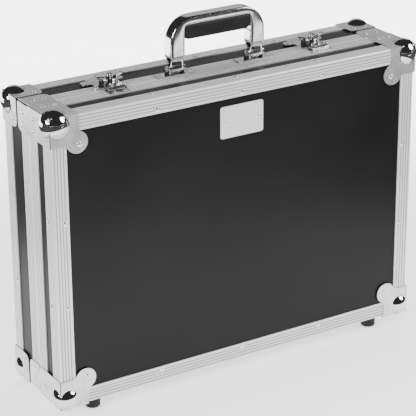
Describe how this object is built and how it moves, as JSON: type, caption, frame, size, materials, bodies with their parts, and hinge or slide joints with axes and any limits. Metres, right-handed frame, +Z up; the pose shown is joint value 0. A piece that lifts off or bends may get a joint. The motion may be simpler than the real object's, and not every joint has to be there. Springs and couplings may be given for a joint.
{
  "type": "carry case",
  "caption": "Upright briefcase for miniatures: black laminated boards in ribbed aluminium profiles, ball corners, twist latches, folding handle, rubber feet, foam pocket tray inside.",
  "frame": {"origin": "floor level, below the middle of the case's width and depth", "axes": "+X to the right seen from the lid side, +Y from the lid to the base shell, +Z up; the case stands on its feet"},
  "size_m": [0.5234, 0.1334, 0.4531],
  "materials": {
    "laminate": "plywood board faced with smooth satin black laminate",
    "aluminium": "silver anodised extrusion with fine ribs",
    "pressed_chrome": "pressed steel, bright plated, polished ball",
    "chrome": "polished chrome plate",
    "zinc_steel": "bright zinc plated sheet steel",
    "steel_rivet": "bright domed steel",
    "plate_metal": "blank satin plate",
    "grip_plastic": "fine grained black moulding",
    "rubber": "black rubber, slightly dusty",
    "foam": "open cell foam, charcoal"
  },
  "bodies": {
    "base": {"base_panel": "laminate", "base_wall_top": "laminate", "base_wall_bottom": "laminate", "base_wall_left": "laminate", "base_wall_right": "laminate", "base_edge_top": "aluminium", "base_edge_bottom": "aluminium", "base_edge_left": "aluminium", "base_edge_right": "aluminium", "base_closing_top": "aluminium", "base_closing_bottom": "aluminium", "base_closing_left": "aluminium", "base_closing_right": "aluminium", "base_corner_top_left": "pressed_chrome", "base_corner_top_right": "pressed_chrome", "base_corner_bottom_left": "pressed_chrome", "base_corner_bottom_right": "pressed_chrome", "corner_braces": "pressed_chrome", "base_rivets": "steel_rivet", "base_feet": "rubber", "foam_tray": "foam", "hinge_leaves_base": "zinc_steel", "hinge_pins": "steel_rivet", "handle_brackets": "zinc_steel", "handle_pins": "steel_rivet", "latch_plate_left": "zinc_steel", "latch_plate_right": "zinc_steel"},
    "lid": {"lid_panel": "laminate", "lid_wall_top": "laminate", "lid_wall_bottom": "laminate", "lid_wall_left": "laminate", "lid_wall_right": "laminate", "lid_edge_top": "aluminium", "lid_edge_bottom": "aluminium", "lid_edge_left": "aluminium", "lid_edge_right": "aluminium", "lid_closing_top": "aluminium", "lid_closing_bottom": "aluminium", "lid_closing_left": "aluminium", "lid_closing_right": "aluminium", "lid_corner_top_left": "pressed_chrome", "lid_corner_top_right": "pressed_chrome", "lid_corner_bottom_left": "pressed_chrome", "lid_corner_bottom_right": "pressed_chrome", "name_plate": "plate_metal", "latch_keepers": "zinc_steel", "lid_rivets": "steel_rivet", "lid_foam": "foam", "lid_feet": "rubber", "hinge_leaves_lid": "zinc_steel"},
    "handle": {"handle_frame": "chrome", "handle_grip": "grip_plastic"},
    "latch_rotor_left": {"latch_rotor_left": "chrome"},
    "latch_wing_a_left": {"latch_wing_a_left": "chrome"},
    "latch_wing_b_left": {"latch_wing_b_left": "chrome"},
    "latch_hook_left": {"latch_hook_left": "zinc_steel"},
    "latch_rotor_right": {"latch_rotor_right": "chrome"},
    "latch_wing_a_right": {"latch_wing_a_right": "chrome"},
    "latch_wing_b_right": {"latch_wing_b_right": "chrome"},
    "latch_hook_right": {"latch_hook_right": "zinc_steel"}
  },
  "joints": [
    {"name": "lid_open", "type": "hinge", "parent": "base", "child": "lid", "pos_m": [0, -0.006, 0.0114], "axis": [1, 0, 0], "range_deg": [0, 90]},
    {"name": "handle_fold", "type": "hinge", "parent": "base", "child": "handle", "pos_m": [0, 0.0015, 0.391], "axis": [1, 0, 0], "range_deg": [-85, 85]},
    {"name": "latch_turn_left", "type": "hinge", "parent": "base", "child": "latch_rotor_left", "pos_m": [-0.143, 0.008, 0.3826], "axis": [0, 0, -1], "range_deg": [0, 180]},
    {"name": "latch_hook_slide_left", "type": "slide", "parent": "base", "child": "latch_hook_left", "axis": [0, -1, 0], "range_m": [0, 0.006]},
    {"name": "wing_lift_a_left", "type": "hinge", "parent": "latch_rotor_left", "child": "latch_wing_a_left", "pos_m": [-0.138, 0.008, 0.395], "axis": [0, -1, 0], "range_deg": [0, 85]},
    {"name": "wing_lift_b_left", "type": "hinge", "parent": "latch_rotor_left", "child": "latch_wing_b_left", "pos_m": [-0.148, 0.008, 0.395], "axis": [0, 1, 0], "range_deg": [0, 85]},
    {"name": "latch_turn_right", "type": "hinge", "parent": "base", "child": "latch_rotor_right", "pos_m": [0.143, 0.008, 0.3826], "axis": [0, 0, 1], "range_deg": [0, 180]},
    {"name": "latch_hook_slide_right", "type": "slide", "parent": "base", "child": "latch_hook_right", "axis": [0, -1, 0], "range_m": [0, 0.006]},
    {"name": "wing_lift_a_right", "type": "hinge", "parent": "latch_rotor_right", "child": "latch_wing_a_right", "pos_m": [0.148, 0.008, 0.395], "axis": [0, -1, 0], "range_deg": [0, 85]},
    {"name": "wing_lift_b_right", "type": "hinge", "parent": "latch_rotor_right", "child": "latch_wing_b_right", "pos_m": [0.138, 0.008, 0.395], "axis": [0, 1, 0], "range_deg": [0, 85]}
  ],
  "couplings": [
    {"joint": "latch_hook_slide_left", "follows": "latch_turn_left", "m_per_rad": 0.0019},
    {"joint": "wing_lift_b_left", "follows": "wing_lift_a_left", "ratio": 1},
    {"joint": "latch_hook_slide_right", "follows": "latch_turn_right", "m_per_rad": 0.0019},
    {"joint": "wing_lift_b_right", "follows": "wing_lift_a_right", "ratio": 1}
  ]
}
